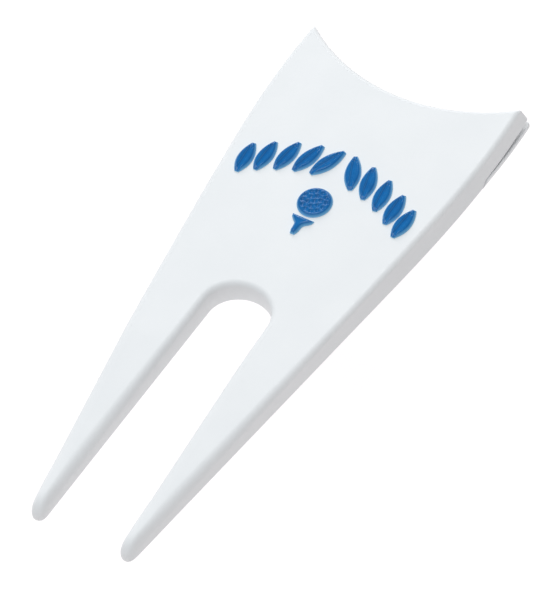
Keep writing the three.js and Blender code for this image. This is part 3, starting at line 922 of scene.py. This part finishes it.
def make_enamel(node, outline, material, relief=None):
    """A raised field of enamel with a rounded shoulder. relief(x, y) lowers its surface in places."""
    low, high = box_mm(node)
    edge = finely(outline)
    corner = np.array([p[:] for p in edge]).min(0)
    size = np.array([p[:] for p in edge]).max(0) - corner
    columns = int(size[0] / GRID) + 1
    rows = int(size[1] / (GRID * ROW_SHARE)) + 1
    grid = np.array([
        (corner[0] + (column + 0.5 * (row % 2)) * GRID, corner[1] + row * GRID * ROW_SHARE)
        for row in range(rows + 1) for column in range(columns + 1)
    ])
    nearest, inside = to_outline(grid, edge)
    inner = [Vector(p) for p in grid[inside & (nearest > GRID_MARGIN)]]
    ring = np.array([p[:] for p in moved_in(edge, RING_INSET)])
    near_ring, in_ring = to_outline(ring, edge)
    inner += [Vector(p) for p in ring[in_ring & (near_ring > RING_MARGIN)]]
    count = len(edge)
    sides = [(index, (index + 1) % count) for index in range(count)]
    points, _, faces, *_ = geometry.delaunay_2d_cdt(edge + inner, sides, [], 1, 1e-6)
    flat = np.array([p[:] for p in points])
    nearest, _ = to_outline(flat, edge)
    share = np.clip(nearest / SHOULDER, 0, 1)
    height = WALL + (high.z - low.z - WALL) * (1 - (1 - share) ** 2)
    bm = bmesh.new()
    top = []
    for (x, y), rise, gap in zip(flat, height, nearest):
        sunk = relief(x, y) * min(1.0, gap / RELIEF_FADE) if relief else 0.0
        top.append(bm.verts.new((x, y, low.z + rise - sunk)))
    for face in faces:
        bm.faces.new([top[index] for index in face])
    rim = [e for e in bm.edges if e.is_boundary]
    lower = bmesh.ops.extrude_edge_only(bm, edges=rim)["geom"]
    for vertex in (g for g in lower if isinstance(g, bmesh.types.BMVert)):
        vertex.co.z = low.z
    bmesh.ops.contextual_create(bm, geom=[g for g in lower if isinstance(g, bmesh.types.BMEdge)])
    piece = linked(node.replace("emblem", "enamel"), bm)
    settle(piece, material, sharp_angle=50)
    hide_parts(node)
    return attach(piece, "fork")


def ball_outline():
    """The circle that bounds the ball."""
    turns = [2 * math.pi * step / 96 for step in range(96)]
    return [BALL + Vector((math.cos(a), math.sin(a))) * BALL_RADIUS for a in turns]


def ball_relief(x, y):
    """Dimples: one in the middle, and two rings of them."""
    depth = 0.0
    for ring, count in DIMPLE_RINGS:
        for index in range(count):
            angle = 2 * math.pi * (index + 0.5) / count
            gap = math.hypot(x - BALL.x - ring * math.cos(angle), y - BALL.y - ring * math.sin(angle))
            depth = max(depth, DIMPLE_DEPTH * (1 - (gap / DIMPLE_RADIUS) ** 2))
    return depth


def tee_outline():
    """A cup that narrows to a stem with a blunt end."""
    right = [Vector((1.5, 0)), Vector((1.42, -0.4))]
    right += cubic(right[-1], Vector((1.0, -0.95)), Vector((0.55, -1.0)), Vector((0.55, -1.5)), 12)
    right += [Vector((0.48, 0.5 - TEE_LENGTH)), Vector((0.28, -TEE_LENGTH))]
    top = Vector((0, TEE_TOP_Y))
    left = [Vector((-p.x, p.y)) for p in right]
    return [top + p for p in left] + [top + p for p in reversed(right)]


def leaf_place(side, place, along, across):
    """A point of a leaf: along its length from its middle, and across it."""
    lean = math.atan(2 * ARCH_FALL * place) - math.radians(LEAF_LEAN)
    outwards = along * math.sin(lean) + across * math.cos(lean)
    upwards = along * math.cos(lean) - across * math.sin(lean)
    return Vector((side * (place + outwards), ARCH_TOP_Y - ARCH_FALL * place**2 + upwards))


def leaf_outline(side, place):
    """Two curves that meet at blunt ends, widest a little below the leaf's middle."""
    half = (LEAF_LENGTH - LEAF_SHRINK * place) / 2

    def edge(from_along, sign):
        start = leaf_place(side, place, from_along, sign * LEAF_END)
        bend = leaf_place(side, place, LEAF_BELLY, sign * LEAF_BULGE)
        end = leaf_place(side, place, -from_along, sign * LEAF_END)
        return [start, *quadratic(start, bend, end, 24)]

    points = edge(-half, -1) + edge(half, 1)
    return points[::-1] if side > 0 else points


def leaf_relief(side, place):
    """A groove along the middle of the leaf."""
    half = (LEAF_LENGTH - LEAF_SHRINK * place) / 2
    start = leaf_place(side, place, GROOVE_START - half, 0)
    run = leaf_place(side, place, half - GROOVE_END, 0) - start

    def relief(x, y):
        offset = Vector((x, y)) - start
        share = min(1.0, max(0.0, offset.dot(run) / run.dot(run)))
        gap = (offset - run * share).length
        return GROOVE_DEPTH * max(0.0, 1 - (gap / GROOVE_HALF_WIDTH) ** 2)

    return relief


def make_emblem(material):
    """An arch of laurel leaves over a ball on a tee."""
    make_enamel("emblem_ball", ball_outline(), material, ball_relief)
    make_enamel("emblem_tee", tee_outline(), material)
    for side, word in ((-1, "left"), (1, "right")):
        for index, place in enumerate(LEAF_PLACES):
            node = f"emblem_leaf_{word}_{index + 1}"
            make_enamel(node, leaf_outline(side, place), material, leaf_relief(side, place))


# ---------------------------------------------------------------- camera, light and floor
VIEW_AZIMUTH = 43.35
VIEW_ELEVATION = 52.68
VIEW_ROLL = -13.41
VIEW_DISTANCE = 0.7
VIEW_LENS = 358.6
LOOK_AT = Vector((0, -0.6, 1.0)) * MM
AIM_RIGHT = 2.934 * MM  # how far the aim lies beside and above that, so the tool is off centre
AIM_UP = 1.355 * MM
SENSOR_WIDTH = 36
CLIP_RANGE = (0.01, 10)  # metres

WORLD_STRENGTH = 0.42
FLOOR_GLOW = 0.9  # the floor gives off light of its own, which keeps it white
FLOOR_Z = -20  # the tool hangs above the floor, so that its clip has room to open
FLOOR_REACH = 2000  # millimetres each way


def direction(azimuth, elevation):
    """Unit vector towards a place at these angles. Azimuth 0 is on the -Y side, 90 on the +X side."""
    a, e = math.radians(azimuth), math.radians(elevation)
    return Vector((math.sin(a) * math.cos(e), -math.cos(a) * math.cos(e), math.sin(e)))


def facing(location, target, up):
    """World matrix of a camera or lamp at location that looks at target, with up upwards."""
    back = (location - target).normalized()
    right = up.cross(back).normalized()
    turn = Matrix((right, back.cross(right), back)).transposed().to_4x4()
    return Matrix.Translation(location) @ turn


def make_camera():
    """A long lens at the viewing angle, rolled so that the tool lies across the picture."""
    back = direction(VIEW_AZIMUTH, VIEW_ELEVATION)
    level_right = Vector((0, 0, 1)).cross(back).normalized()
    level_up = back.cross(level_right)
    roll = math.radians(VIEW_ROLL)
    right = level_right * math.cos(roll) + level_up * math.sin(roll)
    up = level_up * math.cos(roll) - level_right * math.sin(roll)
    data = bpy.data.cameras.new("camera")
    data.sensor_width = SENSOR_WIDTH
    data.lens = VIEW_LENS
    data.clip_start, data.clip_end = CLIP_RANGE
    camera = bpy.data.objects.new("camera", data)
    bpy.context.scene.collection.objects.link(camera)
    aim = LOOK_AT + right * AIM_RIGHT + up * AIM_UP
    camera.matrix_world = facing(LOOK_AT + back * VIEW_DISTANCE, aim, up)
    bpy.context.scene.camera = camera


LAMPS = (  # name, azimuth, elevation, distance in metres, width, height, watts, colour
    ("lamp_top", 300, 80, 0.7, 0.6, 0.6, 2.95, (0.95, 1.0, 1.04)),
    ("lamp_back", 212, 30, 0.7, 0.5, 0.14, 2.0, (1.0, 1.0, 1.0)),
)


def make_lamps():
    """Soft rectangular lamps that face the tool."""
    for name, azimuth, elevation, distance, width, height, watts, colour in LAMPS:
        data = bpy.data.lights.new(name, "AREA")
        data.shape = "RECTANGLE"
        data.size, data.size_y = width, height
        data.energy = watts
        data.color = colour
        lamp = bpy.data.objects.new(name, data)
        bpy.context.scene.collection.objects.link(lamp)
        place = LOOK_AT + direction(azimuth, elevation) * distance
        lamp.matrix_world = facing(place, LOOK_AT, Vector((0, 1, 0)))


def make_sky():
    """Even white light from all round, shown without a film curve so that white stays white."""
    world = bpy.data.worlds.new("studio")
    world.use_nodes = True
    sky = world.node_tree.nodes["Background"]
    sky.inputs["Color"].default_value = (1, 1, 1, 1)
    sky.inputs["Strength"].default_value = WORLD_STRENGTH
    bpy.context.scene.world = world
    bpy.context.scene.view_settings.view_transform = "Standard"


def make_floor():
    """A plain white floor. Only its upper side shows, so the tool can be looked at from below."""
    s = Shader("floor_paper")
    tone = s.mixed(s.noise(40.0, 2.0), (0.2, 0.2, 0.2, 1), (0.22, 0.22, 0.22, 1))
    s.principled(
        Base_Color=tone,
        Roughness=0.95,
        Specular_IOR_Level=0.0,
        Emission_Color=(1, 0.965, 0.975, 1),
        Emission_Strength=FLOOR_GLOW,
    )
    mix = s.node("ShaderNodeMixShader")
    s.set(mix.inputs[0], s.node("ShaderNodeNewGeometry").outputs["Backfacing"])
    s.set(mix.inputs[1], s.surface.outputs["BSDF"])
    s.set(mix.inputs[2], s.node("ShaderNodeBsdfTransparent").outputs["BSDF"])
    s.set(s.tree.nodes["Material Output"].inputs["Surface"], mix.outputs["Shader"])
    bm = bmesh.new()
    bmesh.ops.create_grid(bm, x_segments=8, y_segments=8, size=FLOOR_REACH)
    floor = linked("floor", bm)
    floor.data.transform(Matrix.Translation((0, 0, FLOOR_Z * MM)) @ Matrix.Scale(MM, 4))
    floor.data.materials.append(s.material)


make_camera()
make_lamps()
make_sky()
make_floor()

coat = white_coat()
enamel = blue_enamel()
make_fork(coat)
make_clip(coat)
for rivet_name in ("rivet_left", "rivet_right"):
    make_rivet(rivet_name, turned_steel(rivet_name + "_steel", middle_mm(rivet_name)))
make_magnet(bright_nickel())
make_marker(turned_steel("marker_steel", MARKER))
make_inlay(enamel)
make_emblem(enamel)

bpy.context.view_layer.update()
